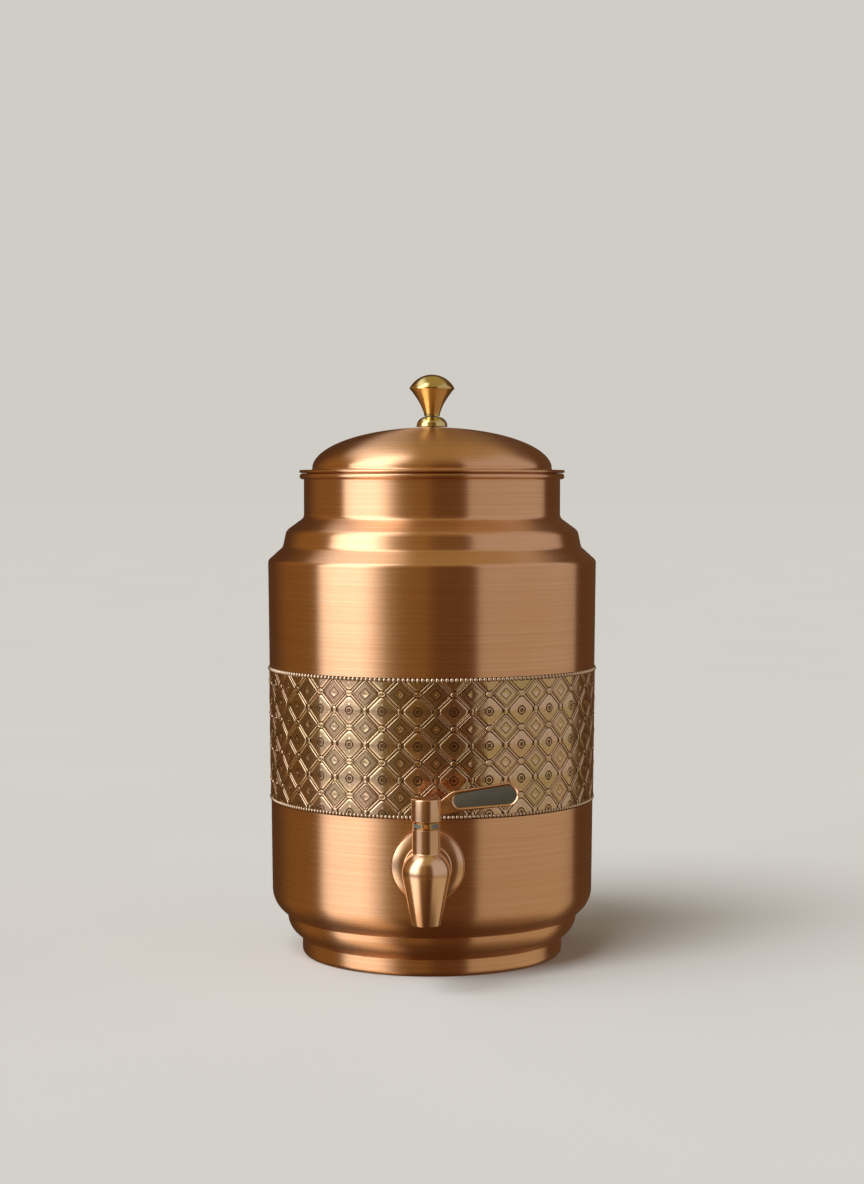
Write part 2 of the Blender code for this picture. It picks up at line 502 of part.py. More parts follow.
def make_valve(finish, lever_axis, tap_line):
    """Hollow plug, spindle and O-rings, which turn with the lever, and the seat ring at the inlet."""
    foot = CHAMBER_FOOT + GAP
    plug = rod("valve_plug", PLUG_RADIUS, foot, PLUG_TOP, finish["valve_brass"], lever_axis)
    port = rod("plug_port_cutter", PLUG_BORE, 0, 2 * PLUG_RADIUS, None, lever_axis, 16)
    port.location = (0, 0, TAP_HEIGHT)
    port.rotation_euler = (0, -pi / 2, 0)
    half_slot = TANG_WIDTH / 2 + GAP
    slot_foot = PLUG_TOP - TANG_DEPTH
    cut(
        plug,
        rod("plug_bore_cutter", PLUG_BORE, foot - PLUG_BORE, PLUG_BORE_TOP, None, lever_axis, 16),
        port,
        box(
            "tang_slot_cutter",
            (-2 * PLUG_RADIUS, -half_slot, slot_foot),
            (2 * PLUG_RADIUS, half_slot, 2 * PLUG_TOP - slot_foot),
            None,
            lever_axis,
        ),
    )

    body_foot = PLUG_TOP + GAP
    outline = [(0, body_foot), (PLUG_RADIUS, body_foot)]
    for height in O_RING_HEIGHTS:
        low, high = height - GROOVE_HALF_WIDTH, height + GROOVE_HALF_WIDTH
        outline += [(PLUG_RADIUS, low), (GROOVE_RADIUS, low), (GROOVE_RADIUS, high), (PLUG_RADIUS, high)]
    outline += [(PLUG_RADIUS, SPINDLE_SHOULDER), (SPINDLE_RADIUS, SPINDLE_SHOULDER)]
    outline += [(SPINDLE_RADIUS, DRIVE_FOOT), (0, DRIVE_FOOT)]
    spindle = turned("valve_spindle", outline, finish["valve_brass"], lever_axis)
    half_tang, half_drive = TANG_WIDTH / 2, DRIVE_WIDTH / 2
    tang = box(
        "tang_former",
        (-TANG_LENGTH / 2, -half_tang, slot_foot + GAP),
        (TANG_LENGTH / 2, half_tang, body_foot + half_tang),
        None,
        lever_axis,
    )
    drive = box(
        "drive_former",
        (-half_drive, -half_drive, DRIVE_FOOT - half_drive),
        (half_drive, half_drive, DRIVE_TOP),
        None,
        lever_axis,
    )
    combine(spindle, tang, "UNION")
    combine(spindle, drive, "UNION")
    for name, height in zip(("lower_o_ring", "upper_o_ring"), O_RING_HEIGHTS):
        centre = (GROOVE_RADIUS + CHAMBER_BORE) / 2
        ring(name, centre, height, O_RING_SECTION, finish["silicone"], lever_axis, SMALL_SIDES, 6)

    seat_end = TAP_REACH - CHAMBER_BORE - GAP
    seat_start = seat_end - SEAT_THICKNESS
    pipe("inlet_seat", SEAT_RADIUS, SEAT_BORE, seat_start, seat_end, finish["silicone"], tap_line)


def make_collar(finish, tap_axis):
    """The ring that keeps the spindle in, with its enamel plates in pockets of their own shape."""
    seat = TAP_NECK_TOP + GAP
    bore = SPINDLE_RADIUS + GAP
    outline = [
        (bore, RING_SLEEVE_FOOT),
        (RING_SLEEVE_RADIUS, RING_SLEEVE_FOOT),
        (RING_SLEEVE_RADIUS, seat),
        (RING_RADIUS, seat),
        (RING_RADIUS, RING_TOP),
        (bore, RING_TOP),
    ]
    collar = turned("valve_collar", outline, finish["tap_metal"], tap_axis, 30)
    middle = (seat + RING_TOP) / 2
    floor, face = RING_RADIUS - INSET_DEPTH, RING_RADIUS + GAP
    margin = degrees(GAP / RING_RADIUS)
    plate_section = section(floor + GAP, face, middle, INSET_HEIGHT)
    pocket_section = section(floor, 2 * face, middle, INSET_HEIGHT + 2 * GAP)
    pockets = bmesh.new()
    for number in range(INSET_COUNT):
        angle = DOWN + (number + 0.5) * 360 / INSET_COUNT
        add_sector(pockets, pocket_section, angle, INSET_SWEEP + 2 * margin)
        one = bmesh.new()
        add_sector(one, plate_section, angle, INSET_SWEEP)
        bmesh.ops.recalc_face_normals(one, faces=one.faces)
        place(f"enamel_plate_{number + 1}", one, finish["enamel"], tap_axis)
    bmesh.ops.recalc_face_normals(pockets, faces=pockets.faces)
    cut(collar, place("pocket_cutter", pockets, None, tap_axis))


def make_lever(finish, lever_axis):
    """Hub and paddle in one casting, the inlay let into the paddle, and the grub screw behind the hub."""
    foot = RING_TOP + GAP
    rounding = arc(HUB_RADIUS - HUB_ROUND, HUB_TOP - HUB_ROUND, HUB_ROUND, 0, 90, 3)
    hub = [(0, foot), (HUB_RADIUS, foot), *rounding, (0, HUB_TOP)]
    lever = turned("tap_lever", hub, finish["tap_metal"], lever_axis, 32)

    walk = Path(0, ARM_FOOT, OUTWARD).ahead(ARM_ROOT_RUN).turn_to(ARM_BEND, ARM_RISE)
    walk.ahead(ARM_RISE_RUN).turn_to(ARM_BEND, PADDLE_HEADING).ahead(PADDLE_RUN)
    walk.bend(PADDLE_ROUND, PADDLE_TURN, 8).ahead(PADDLE_TOP_RUN).bend(ARM_BEND, ARM_SWEEP).to_radius(0)
    half = ARM_THICKNESS / 2
    arm = plate("arm_former", walk.points, -half, half, None, lever_axis)
    combine(lever, arm, "UNION")

    recess_floor = -half + INLAY_THICKNESS + GAP
    slot = (INLAY_START, INLAY_START_ROUND, INLAY_END, INLAY_END_ROUND)
    recess = plate("inlay_cutter", slot_outline(*slot, GAP), -2 * half, recess_floor, None, lever_axis)
    half_socket = DRIVE_WIDTH / 2 + GAP
    socket = box(
        "drive_socket_cutter",
        (-half_socket, -half_socket, foot - half_socket),
        (half_socket, half_socket, DRIVE_TOP + GAP),
        None,
        lever_axis,
    )
    grub_hole = rod("grub_hole_cutter", GRUB_RADIUS + GAP, 0, 2 * HUB_RADIUS, None, lever_axis, 12)
    grub = rod("lever_grub_screw", GRUB_RADIUS, GRUB_START, GRUB_END, finish["steel"], lever_axis, 12)
    for piece in (grub_hole, grub):
        piece.location = (0, 0, GRUB_HEIGHT)
        piece.rotation_euler = (-pi / 2, 0, 0)
    cut(lever, recess, socket, grub_hole)

    inlay_back = -half + INLAY_THICKNESS
    plate("lever_inlay", slot_outline(*slot), -half, inlay_back, finish["grey_inlay"], lever_axis)


def main():
    for old in list(bpy.data.objects):
        bpy.data.objects.remove(old)
    finish = make_materials()
    vessel = frame_empty("vessel_frame", (0, 0, 0))
    lid = frame_empty("lid_lift_axis", (0, 0, 0))
    # On this empty, +Z points out of the vessel's front, along the shank.
    tap_line = frame_empty("tap_line", (0, 0, TAP_HEIGHT), vessel, pi / 2)
    tap_axis = frame_empty("tap_upright_axis", (0, -TAP_REACH, 0), vessel)
    lever_axis = frame_empty("lever_turn_axis", (0, -TAP_REACH, 0), vessel)

    make_vessel(finish, vessel, tap_line)
    make_band(finish, vessel)
    make_lid(finish, lid)
    make_knob(finish, lid)
    make_wall_fitting(finish, vessel, tap_line)
    make_tap_body(finish, tap_axis, tap_line)
    make_valve(finish, lever_axis, tap_line)
    make_collar(finish, tap_axis)
    make_lever(finish, lever_axis)


main()
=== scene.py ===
"""A copper water dispenser with an embossed band, a lift-off lid and a lever tap.

Metres, +Z up, front along -Y. The origin is in the middle of the base.
"""

import random
from math import acos, atan2, cos, degrees, hypot, pi, radians, sin

import bpy
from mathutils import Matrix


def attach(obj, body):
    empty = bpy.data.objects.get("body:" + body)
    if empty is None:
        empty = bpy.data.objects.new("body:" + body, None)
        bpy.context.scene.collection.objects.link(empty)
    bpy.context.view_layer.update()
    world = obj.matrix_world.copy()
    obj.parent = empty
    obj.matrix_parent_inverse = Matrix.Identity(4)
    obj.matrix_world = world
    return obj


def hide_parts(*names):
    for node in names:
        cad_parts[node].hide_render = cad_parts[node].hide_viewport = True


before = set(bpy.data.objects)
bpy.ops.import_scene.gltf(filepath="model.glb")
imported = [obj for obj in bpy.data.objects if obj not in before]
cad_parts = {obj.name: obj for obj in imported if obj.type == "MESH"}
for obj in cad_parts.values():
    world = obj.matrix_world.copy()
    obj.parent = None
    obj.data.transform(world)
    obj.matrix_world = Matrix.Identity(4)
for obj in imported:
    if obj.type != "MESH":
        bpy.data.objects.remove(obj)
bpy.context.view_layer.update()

MM = 0.001
TURN = 2 * pi
GAP = 0.3 * MM
ROUND = 192  # sides of the vessel and the lid
SMALL_ROUND = 72  # sides of the tap, the knob and their fittings
DOWN, INWARD, OUTWARD = -90, -180, 0  # headings of an outline, in degrees
SMOOTH = radians(38)

# Vessel, from the mouth to the base.
SHEET = 1.0 * MM
WALL_TOP_RADIUS, WALL_TOP = 100.05 * MM, 238.7 * MM
WALL_FOOT_RADIUS, WALL_FOOT = 97.9 * MM, 40.3 * MM
BEAD_RADIUS, BEAD_CENTRE, BEAD_HEIGHT = 1.8 * MM, 79.0 * MM, 291.6 * MM
NECK_RADIUS, NECK_FOOT = 78.2 * MM, 268.6 * MM
RECESS_DEPTH, RECESS_BOTTOM, RECESS_TOP = 1.25 * MM, 95.0 * MM, 176.3 * MM
SEAM = 124.0 * MM

# Band.
COLUMNS = 30
TILE_HEIGHT, MIDDLE_ROW = 19.75 * MM, 137.1 * MM
ROW_HEIGHTS = [MIDDLE_ROW + row * TILE_HEIGHT for row in (-2, -1, 0, 1, 2)]
FIRST_COLUMN = radians(-3.3)
LOWER_WIRE_HEIGHT, UPPER_WIRE_HEIGHT = 96.3 * MM, 175.0 * MM
LOWER_BEADS, UPPER_BEADS = 254, 224

# Tap.
TAP_HEIGHT, TAP_REACH = 68.6 * MM, 131.2 * MM


class Path:
    """An outline drawn as a walk in the (radius, height) plane, of straight runs and bends."""

    def __init__(self, radius, height, heading):
        self.points = [(radius, height)]
        self.heading = heading

    def ahead(self, distance):
        radius, height = self.points[-1]
        angle = radians(self.heading)
        self.points.append((radius + distance * cos(angle), height + distance * sin(angle)))
        return self

    def to_radius(self, radius):
        return self.ahead((radius - self.points[-1][0]) / cos(radians(self.heading)))

    def to_height(self, height):
        return self.ahead((height - self.points[-1][1]) / sin(radians(self.heading)))

    def straight_to(self, radius, height):
        before = self.points[-1]
        self.heading = degrees(atan2(height - before[1], radius - before[0]))
        self.points.append((radius, height))
        return self

    def bend(self, radius, turn, steps=8):
        share = turn / steps
        chord = 2 * radius * sin(radians(abs(share)) / 2)
        for _ in range(steps):
            self.heading += share / 2
            self.ahead(chord)
            self.heading += share / 2
        return self

    def turn_to(self, radius, heading, steps=8):
        return self.bend(radius, heading - self.heading, steps)


def arc(centre_radius, centre_height, radius, start, end, steps):
    angles = [radians(start + (end - start) * step / steps) for step in range(steps + 1)]
    return [(centre_radius + radius * cos(a), centre_height + radius * sin(a)) for a in angles]


def offset(points, distance):
    """The line beside these points, to the right of the walk."""
    moved = []
    for index, (radius, height) in enumerate(points):
        before = points[max(index - 1, 0)]
        after = points[min(index + 1, len(points) - 1)]
        normals = []
        for (r0, h0), (r1, h1) in ((before, (radius, height)), ((radius, height), after)):
            length = hypot(r1 - r0, h1 - h0)
            if length > 0:
                normals.append(((h1 - h0) / length, (r0 - r1) / length))
        across = (normals[0][0] + normals[-1][0], normals[0][1] + normals[-1][1])
        reach = distance * 2 / hypot(*across) ** 2
        moved.append((radius + across[0] * reach, height + across[1] * reach))
    return moved


def sheet_outline(points, thickness=SHEET):
    return points + offset(points, thickness)[::-1]


WALL_SLOPE = (WALL_TOP_RADIUS - WALL_FOOT_RADIUS) / (WALL_TOP - WALL_FOOT)


def wall_radius(height):
    share = (height - WALL_FOOT) / (WALL_TOP - WALL_FOOT)
    return WALL_FOOT_RADIUS + share * (WALL_TOP_RADIUS - WALL_FOOT_RADIUS)


# Modelling steps.


def select_only(*objects):
    bpy.ops.object.select_all(action="DESELECT")
    for item in objects:
        item.select_set(True)
    bpy.context.view_layer.objects.active = objects[0]


def start_editing(name=None):
    """Enters edit mode on the primitive that was just added, with all of it selected."""
    made = bpy.context.object
    if name:
        made.name = name
    bpy.ops.object.mode_set(mode="EDIT")
    bpy.ops.mesh.select_all(action="SELECT")
    return made


def stop_editing():
    bpy.ops.object.mode_set(mode="OBJECT")
    return bpy.context.object


def draw_line(points):
    """Draws a chain of vertices in the XZ plane, left in edit mode with its last vertex selected."""
    bpy.ops.object.select_all(action="DESELECT")
    bpy.ops.mesh.primitive_plane_add(size=MM, location=(0, 0, 0))
    start_editing()
    bpy.ops.mesh.merge(type="CENTER")
    bpy.ops.transform.translate(value=(points[0][0], 0, points[0][1]))
    for (r0, h0), (r1, h1) in zip(points, points[1:]):
        bpy.ops.mesh.extrude_region_move(TRANSFORM_OT_translate={"value": (r1 - r0, 0, h1 - h0)})


def turned(name, outline, sides=SMALL_ROUND, closed=True):
    """A piece turned about Z. A closed outline is a ring's section, and an open one ends on the axis."""
    draw_line(outline + outline[:1] if closed else outline)
    bpy.context.object.name = name
    bpy.ops.mesh.select_all(action="SELECT")
    bpy.ops.mesh.remove_doubles(threshold=MM / 1000)
    bpy.ops.mesh.spin(steps=sides, angle=TURN, center=(0, 0, 0), axis=(0, 0, 1))
    bpy.ops.mesh.select_all(action="SELECT")
    bpy.ops.mesh.remove_doubles(threshold=MM / 1000)
    bpy.ops.mesh.normals_make_consistent(inside=False)
    return stop_editing()


def stand_up(piece):
    """Turns a piece made about Z so that its +Z points forward along the tap's barrel, and puts it there."""
    select_only(piece)
    start_editing()
    bpy.ops.transform.rotate(value=-pi / 2, orient_axis="X", center_override=(0, 0, 0))
    bpy.ops.transform.translate(value=(0, 0, TAP_HEIGHT))
    return stop_editing()


def shift(piece, move):
    select_only(piece)
    start_editing()
    bpy.ops.transform.translate(value=move)
    return stop_editing()


def use_modifier(piece, kind, **settings):
    select_only(piece)
    modifier = piece.modifiers.new(kind.title(), kind)
    for name, value in settings.items():
        setattr(modifier, name, value)
    bpy.ops.object.modifier_apply(modifier=modifier.name)
    return piece


def combine(piece, helper, operation="DIFFERENCE"):
    use_modifier(piece, "BOOLEAN", operation=operation, solver="EXACT", object=helper)
    bpy.data.objects.remove(helper)
    return piece


def soften(piece, width, segments=3):
    """Rounds the piece's sharp edges."""
    sharp = {"limit_method": "ANGLE", "angle_limit": radians(30), "harden_normals": False}
    return use_modifier(piece, "BEVEL", width=width, segments=segments, **sharp)


def join(name, pieces):
    """Joins copies, with their places applied, into one piece at the origin."""
    select_only(*pieces)
    bpy.ops.object.join()
    bpy.ops.object.transform_apply(location=True, rotation=True, scale=True)
    joined = bpy.context.object
    joined.name = name
    return joined


def copy_of(piece):
    made = piece.copy()
    made.data = piece.data.copy()
    bpy.context.scene.collection.objects.link(made)
    return made


def finish(piece, material, body, slot, *nodes, smooth=SMOOTH):
    """Smooths a piece, paints it, hangs it on its body, and hides the CAD nodes that it stands for."""
    select_only(piece)
    bpy.ops.object.shade_smooth_by_angle(angle=smooth)
    piece.data.materials.clear()
    piece.data.materials.append(material)
    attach(piece, body)
    if nodes:
        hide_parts(*nodes)
    return piece


# Materials.


class Wire:
    """One output socket. Arithmetic on it adds Math nodes to its tree."""

    def __init__(self, tree, socket):
        self.tree = tree
        self.socket = socket

    def math(self, operation, *others):
        values = dict(enumerate((self, *others)))
        return self.tree.node("ShaderNodeMath", {"operation": operation}, values)

    def __add__(self, other):
        return self.math("ADD", other)

    __radd__ = __add__

    def __mul__(self, other):
        return self.math("MULTIPLY", other)

    __rmul__ = __mul__

    def __sub__(self, other):
        return self.math("SUBTRACT", other)

    def __rsub__(self, other):
        return self.tree.node("ShaderNodeMath", {"operation": "SUBTRACT"}, {0: other, 1: self})

    def axes(self):
        """All outputs of this socket's node, such as the three of Separate XYZ."""
        return [Wire(self.tree, output) for output in self.socket.node.outputs]

    def smooth_step(self, low, high):
        """0 below low, 1 above high, and a smooth rise between."""
        return self.tree.node(
            "ShaderNodeMapRange",
            {"interpolation_type": "SMOOTHSTEP"},
            {"Value": self, "From Min": low, "From Max": high},
        )

    def inside(self, low, high, soft):
        """1 between low and high, with edges this soft."""
        return self.smooth_step(low - soft, low + soft) * (1 - self.smooth_step(high - soft, high + soft))


class Tree:
    """A node tree that is being written."""

    def __init__(self, owner):
        owner.use_nodes = True
        self.made = owner.node_tree
        self.made.nodes.clear()

    def node(self, kind, settings=None, values=None, output=0):
        made = self.made.nodes.new(kind)
        for name, value in (settings or {}).items():
            setattr(made, name, value)
        for key, value in (values or {}).items():
            socket = made.inputs[key]
            if isinstance(value, Wire):
                self.made.links.new(value.socket, socket)
            else:
                socket.default_value = value
        return Wire(self, made.outputs[output]) if made.outputs else None

    def mix(self, share, first, second):
        """A colour between two others."""
        values = {0: share, 6: first, 7: second}
        return self.node("ShaderNodeMix", {"data_type": "RGBA"}, values, output=2)


def colour(red, green, blue):
    return (red, green, blue, 1)


class Metal(Tree):
    """A material with a Principled shader, and the coordinates that its patterns are made of."""

    def __init__(self, name):
        self.material = bpy.data.materials.new(name)
        super().__init__(self.material)
        self.place = self.node("ShaderNodeTexCoord", output=3)
        self.x, self.y, self.z = self.node("ShaderNodeSeparateXYZ", {}, {0: self.place}).axes()

    def radius(self):
        return (self.x * self.x + self.y * self.y).math("SQRT")

    def above_wall(self):
        """How far a point stands off the wall's cone."""
        return self.radius() - (self.z * WALL_SLOPE + WALL_FOOT_RADIUS - WALL_FOOT * WALL_SLOPE)

    def stretched(self, across, along):
        """A vector for noise: drawn out along rings about Z, and fine across them."""
        return self.node("ShaderNodeCombineXYZ", {}, {0: self.x * along, 1: self.y * along, 2: across})

    def noise(self, scale, detail=2.0, roughness=0.5, vector=None):
        values = {"Vector": vector or self.place, "Scale": scale, "Detail": detail, "Roughness": roughness}
        return self.node("ShaderNodeTexNoise", {}, values)

    def bump(self, height, distance, strength=1.0, under=None):
        values = {"Height": height, "Distance": distance, "Strength": strength}
        if under:
            values["Normal"] = under
        return self.node("ShaderNodeBump", {}, values)

    def shade(self, **values):
        """The Principled shader. Keywords are its sockets' names, with _ for a space."""
        sockets = {name.replace("_", " "): value for name, value in values.items()}
        shader = self.node("ShaderNodeBsdfPrincipled", {}, sockets)
        self.node("ShaderNodeOutputMaterial", {}, {0: shader})
        return self.material


def brushed_copper(name, slope):
    """Copper sheet brushed round the body. Slope is 1 where it widens upwards and -1 where it narrows."""
    paint = Metal(name)
    along = paint.z + paint.radius() * slope
    lines = paint.noise(1.0, 3.0, 0.6, paint.stretched(along * 1700, 5))
    scratches = paint.noise(1.0, 2.0, 0.5, paint.stretched(along * 760, 3))
    cloud = paint.noise(16, 3.0, 0.55)
    spots = paint.noise(55, 4.0, 0.6)
    tint = paint.mix(cloud.smooth_step(0.35, 0.7), colour(0.88, 0.52, 0.31), colour(0.86, 0.49, 0.28))
    tint = paint.mix(lines.smooth_step(0.42, 0.72) * 0.55, tint, colour(0.96, 0.65, 0.44))
    tint = paint.mix(scratches.smooth_step(0.45, 0.66) * 0.35, tint, colour(0.76, 0.42, 0.23))
    tint = paint.mix(spots.smooth_step(0.6, 0.8) * 0.12, tint, colour(0.66, 0.34, 0.18))
    rough = 0.22 + lines * 0.08 + cloud * 0.04
    normal = paint.bump(lines, 0.01 * MM, 0.5)
    normal = paint.bump(scratches, 0.02 * MM, 0.4, normal)
    brushing = {"Anisotropic": 0.95, "Anisotropic_Rotation": 0.25}
    return paint.shade(Base_Color=tint, Metallic=1.0, Roughness=rough, Normal=normal, **brushing)


def embossed_metal(name):
    """Die-struck sheet, bright on the raised lines and dark with age in the hollows."""
    paint = Metal(name)
    raised = paint.above_wall().smooth_step(0.05 * MM, 0.18 * MM)
    patches = paint.noise(38, 4.0, 0.6)
    stipple = paint.node("ShaderNodeTexVoronoi", {"feature": "F1"}, {"Vector": paint.place, "Scale": 950.0})
    grain = paint.noise(1400, 2.0)
    worn = paint.mix(patches.smooth_step(0.4, 0.6), colour(0.88, 0.63, 0.45), colour(0.78, 0.61, 0.39))
    worn = paint.mix(stipple.smooth_step(0.35, 0.7) * 0.35, worn, colour(0.50, 0.33, 0.21))
    tint = paint.mix(raised, colour(0.17, 0.095, 0.05), worn)
    rough = 0.40 - raised * 0.28 + grain * 0.1
    relief = stipple * ((1 - raised) * 0.5 + 0.18) + grain * 0.2
    normal = paint.bump(relief, 0.1 * MM, 0.6)
    return paint.shade(Base_Color=tint, Metallic=1.0, Roughness=rough, Normal=normal)


def pearl_metal(name):
    """Pearls bright on their fronts and dark between."""
    paint = Metal(name)
    grain = paint.noise(700, 2.0)
    raised = paint.above_wall().smooth_step(0.0, 0.6 * MM)
    tint = paint.mix(raised, colour(0.20, 0.12, 0.07), colour(0.80, 0.64, 0.50))
    return paint.shade(Base_Color=tint, Metallic=1.0, Roughness=0.26 + grain * 0.08)


def polished_brass(name):
    """Turned and polished brass, with traces of the turning."""
    paint = Metal(name)
    along = paint.z - paint.radius()
    lines = paint.noise(1.0, 2.0, 0.5, paint.stretched(along * 2600, 6))
    cloud = paint.noise(120, 3.0)
    tint = paint.mix(cloud.smooth_step(0.4, 0.7), colour(0.80, 0.66, 0.30), colour(0.72, 0.57, 0.24))
    normal = paint.bump(lines, 0.01 * MM, 0.35)
    return paint.shade(Base_Color=tint, Metallic=1.0, Roughness=0.11 + lines * 0.07, Normal=normal)


def satin_tap(name):
    """Rose-gold plating, satin, with a fine grain."""
    paint = Metal(name)
    grain = paint.noise(900, 3.0, 0.6)
    cloud = paint.noise(60, 3.0, 0.5)
    tint = paint.mix(cloud.smooth_step(0.35, 0.7), colour(0.91, 0.61, 0.42), colour(0.86, 0.55, 0.36))
    rough = 0.15 + grain * 0.08 + cloud * 0.04
    normal = paint.bump(grain, 0.01 * MM, 0.25)
    return paint.shade(Base_Color=tint, Metallic=1.0, Roughness=rough, Normal=normal)


def plain(name, base, metallic, roughness, scale, depth, variation=0.12, **more):
    """A simple finish with a grain of its own scale, for small and hidden pieces."""
    paint = Metal(name)
    grain = paint.noise(scale, 3.0, 0.6)
    dark = tuple(channel * (1 - variation) for channel in base[:3])
    tint = paint.mix(grain, colour(*dark), base)
    rough = roughness + (grain - 0.5) * 0.12
    normal = paint.bump(grain, depth, 0.5)
    return paint.shade(Base_Color=tint, Metallic=metallic, Roughness=rough, Normal=normal, **more)


# Vessel.


def upper_vessel():
    """Neck with its rolled mouth, stepped shoulder and the upper wall, down to the recess under the band."""
    walk = Path(NECK_RADIUS, BEAD_HEIGHT - BEAD_RADIUS, DOWN)
    walk.to_height(NECK_FOOT).turn_to(4.0 * MM, -36)
    walk.to_radius(87.1 * MM).turn_to(6.0 * MM, -78, 12)
    walk.to_height(250.0 * MM).turn_to(4.0 * MM, -42)
    walk.to_radius(98.9 * MM).turn_to(3.5 * MM, DOWN, 12)
    walk.straight_to(wall_radius(RECESS_TOP), RECESS_TOP)
    walk.straight_to(wall_radius(RECESS_TOP) - RECESS_DEPTH, RECESS_TOP - 0.6 * MM)
    walk.straight_to(wall_radius(SEAM) - RECESS_DEPTH, SEAM)
    bead = arc(BEAD_CENTRE, BEAD_HEIGHT, BEAD_RADIUS, 180, -90, 20)
    return turned("neck_shoulder_and_wall", bead + sheet_outline(walk.points)[:-1], ROUND)


def lower_vessel():
    """Lower wall, stepped foot and base, with the hole for the tap."""
    walk = Path(wall_radius(SEAM) - RECESS_DEPTH, SEAM - GAP, DOWN)
    walk.straight_to(wall_radius(RECESS_BOTTOM) - RECESS_DEPTH, RECESS_BOTTOM + 0.6 * MM)
    walk.straight_to(wall_radius(RECESS_BOTTOM), RECESS_BOTTOM)
    for height in (84 * MM, 54 * MM, WALL_FOOT):
        walk.straight_to(wall_radius(height), height)
    walk.turn_to(17.0 * MM, -140, 12).to_radius(88.9 * MM)
    walk.turn_to(1.0 * MM, DOWN, 4).turn_to(14.0 * MM, -140, 10)
    walk.to_radius(79.9 * MM).turn_to(1.0 * MM, DOWN, 4)
    walk.to_height(3.0 * MM).turn_to(3.0 * MM, INWARD, 6).to_radius(0)
    shell = turned("lower_wall_and_foot", walk.points + offset(walk.points, SHEET)[::-1], ROUND, closed=False)
    hole = [(0, 80 * MM), (8.5 * MM, 80 * MM), (8.5 * MM, 110 * MM), (0, 110 * MM)]
    return combine(shell, stand_up(turned("tap_hole", hole, closed=False)))


# Band: each motif is made once, flat, facing -Y, and then copied round the wall.


def diamond(name, width, height, corner=0.0, segments=2, cuts=0):
    """A flat diamond face with rounded corners, in the XZ plane, facing -Y and left in edit mode."""
    bpy.ops.object.select_all(action="DESELECT")
    bpy.ops.mesh.primitive_circle_add(vertices=4, radius=1, fill_type="NGON", rotation=(pi / 2, 0, 0))
    bpy.ops.object.transform_apply(rotation=True)
    made = start_editing(name)
    bpy.ops.transform.resize(value=(width, 1, height))
    if corner:
        bpy.ops.mesh.bevel(offset=corner, segments=segments, affect="VERTICES")
        bpy.ops.mesh.select_all(action="SELECT")
    if cuts:
        bpy.ops.mesh.delete(type="ONLY_FACE")
        bpy.ops.mesh.select_all(action="SELECT")
        bpy.ops.mesh.subdivide(number_cuts=cuts)
        bpy.ops.mesh.select_all(action="SELECT")
        bpy.ops.mesh.edge_face_add()
    made.update_from_editmode()
    if made.data.polygons[0].normal.y > 0:
        bpy.ops.mesh.flip_normals()
    return made


def raise_steps(reach, *steps):
    """Extrudes the selected face again and again, with its shape kept.

    Reach is the distance from its middle to its nearest side, and the steps are pairs of reach lost and rise,
    all in millimetres.
    """
    for width, rise in steps:
        share = (reach - width) / reach
        bpy.ops.mesh.extrude_region_move(TRANSFORM_OT_translate={"value": (0, -rise * MM, 0)})
        bpy.ops.transform.resize(value=(share, 1, share), center_override=(0, 0, 0))
        reach -= width


def close_motif():
    """Turns all faces of the motif outwards and leaves edit mode."""
    bpy.ops.mesh.select_all(action="SELECT")
    bpy.ops.mesh.normals_make_consistent(inside=False)
    return stop_editing()


def cushion():
    """A rounded diamond: a low pillow with a round hollow for the eye."""
    diamond("cushion", 9.35 * MM, 8.9 * MM, 2.6 * MM, 4, 1)
    raise_steps(6.45, (0.08, 0.13), (0.09, 0.10), (0.13, 0.06), (0.75, 0.05), (1.4, 0.08), (1.4, 0.04))
    bpy.ops.mesh.extrude_region_move(TRANSFORM_OT_translate={"value": (0, -0.01 * MM, 0)})
    bpy.ops.transform.tosphere(value=1)
    raise_steps(2.6, (0.2, 0.0), (0.1, -0.44))
    return close_motif()


def half_strip(name, width, height, inner):
    """Half of the trellis band that runs round a diamond cell. Its outer edge meets the next cell's."""
    diamond(name, width, height, cuts=3)
    bpy.ops.transform.translate(value=(0, -0.30 * MM, 0))
    bpy.ops.mesh.inset(thickness=inner - 0.28 * MM)
    bpy.ops.mesh.inset(thickness=0.11 * MM, depth=-0.05 * MM)
    bpy.ops.mesh.inset(thickness=0.09 * MM, depth=-0.09 * MM)
    bpy.ops.mesh.inset(thickness=0.08 * MM, depth=-0.16 * MM)
    bpy.ops.mesh.delete(type="ONLY_FACE")
    return stop_editing()


def flower_plate():
    """The square between four cushions: a plate with an engraved line round a small raised diamond."""
    diamond("flower_plate", 8.55 * MM, 8.15 * MM, cuts=3)
    raise_steps(5.9, (0.08, 0.13), (0.09, 0.10), (0.13, 0.06), (0.5, 0.0))
    raise_steps(5.1, (0.08, -0.26), (0.22, 0.0), (0.08, 0.26))
    raise_steps(4.72, (2.1, 0.02), (0.08, -0.28), (0.28, 0.0), (0.1, 0.28), (0.5, 0.03), (0.3, -0.08))
    return close_motif()


def stud(name, radius, rise, sides=6):
    bpy.ops.object.select_all(action="DESELECT")
    bpy.ops.mesh.primitive_cone_add(
        vertices=sides, radius1=radius, radius2=radius * 0.45, depth=rise, rotation=(pi / 2, 0, 0)
    )
    bpy.ops.object.transform_apply(rotation=True)
    bpy.context.object.name = name
    return bpy.context.object


def ring(name, radius, wire, stretch=1.0, sides=14):
    bpy.ops.object.select_all(action="DESELECT")
    section = {"minor_radius": wire, "minor_segments": 5}
    bpy.ops.mesh.primitive_torus_add(
        major_radius=radius, major_segments=sides, rotation=(pi / 2, 0, 0), **section
    )
    bpy.ops.object.transform_apply(rotation=True)
    start_editing(name)
    bpy.ops.transform.resize(value=(stretch, 1, 1))
    return stop_editing()


